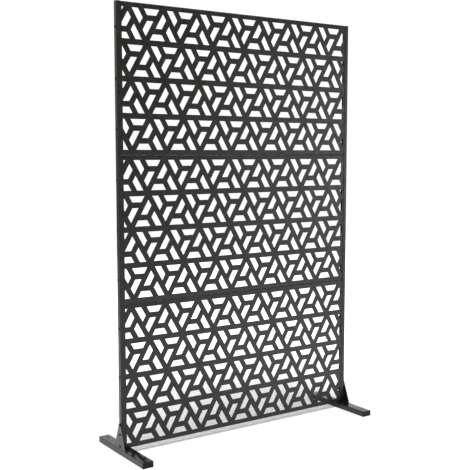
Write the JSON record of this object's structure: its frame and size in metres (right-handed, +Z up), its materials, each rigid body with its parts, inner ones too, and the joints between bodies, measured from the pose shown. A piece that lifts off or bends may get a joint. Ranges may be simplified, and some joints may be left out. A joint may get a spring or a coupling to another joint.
{
  "type": "privacy screen",
  "caption": "Free-standing outdoor privacy screen: stacked sheet-metal panels with a cut-out pinwheel lattice, gripped by channel uprights that are bracketed to tube feet",
  "frame": {"origin": "on the floor under the middle of the screen", "axes": "+X to the right along the width as seen from the front, +Y from the front to the back, +Z up"},
  "size_m": [1.223, 0.392, 1.825],
  "materials": {
    "panel_coat": "charcoal powder coat, semi-gloss",
    "frame_coat": "charcoal powder coat, semi-gloss",
    "cap_plastic": "moulded black, fine grain",
    "fastener_coat": "black-coated steel"
  },
  "bodies": {
    "root": {"top_panel": "panel_coat", "middle_panel": "panel_coat", "bottom_panel": "panel_coat", "left_upright": "frame_coat", "left_bracket": "frame_coat", "left_foot": "frame_coat", "left_front_foot_cap": "cap_plastic", "left_rear_foot_cap": "cap_plastic", "left_panel_screws": "fastener_coat", "left_bracket_bolts": "fastener_coat", "left_bracket_nuts": "fastener_coat", "right_upright": "frame_coat", "right_bracket": "frame_coat", "right_foot": "frame_coat", "right_front_foot_cap": "cap_plastic", "right_rear_foot_cap": "cap_plastic", "right_panel_screws": "fastener_coat", "right_bracket_bolts": "fastener_coat", "right_bracket_nuts": "fastener_coat"}
  },
  "joints": []
}
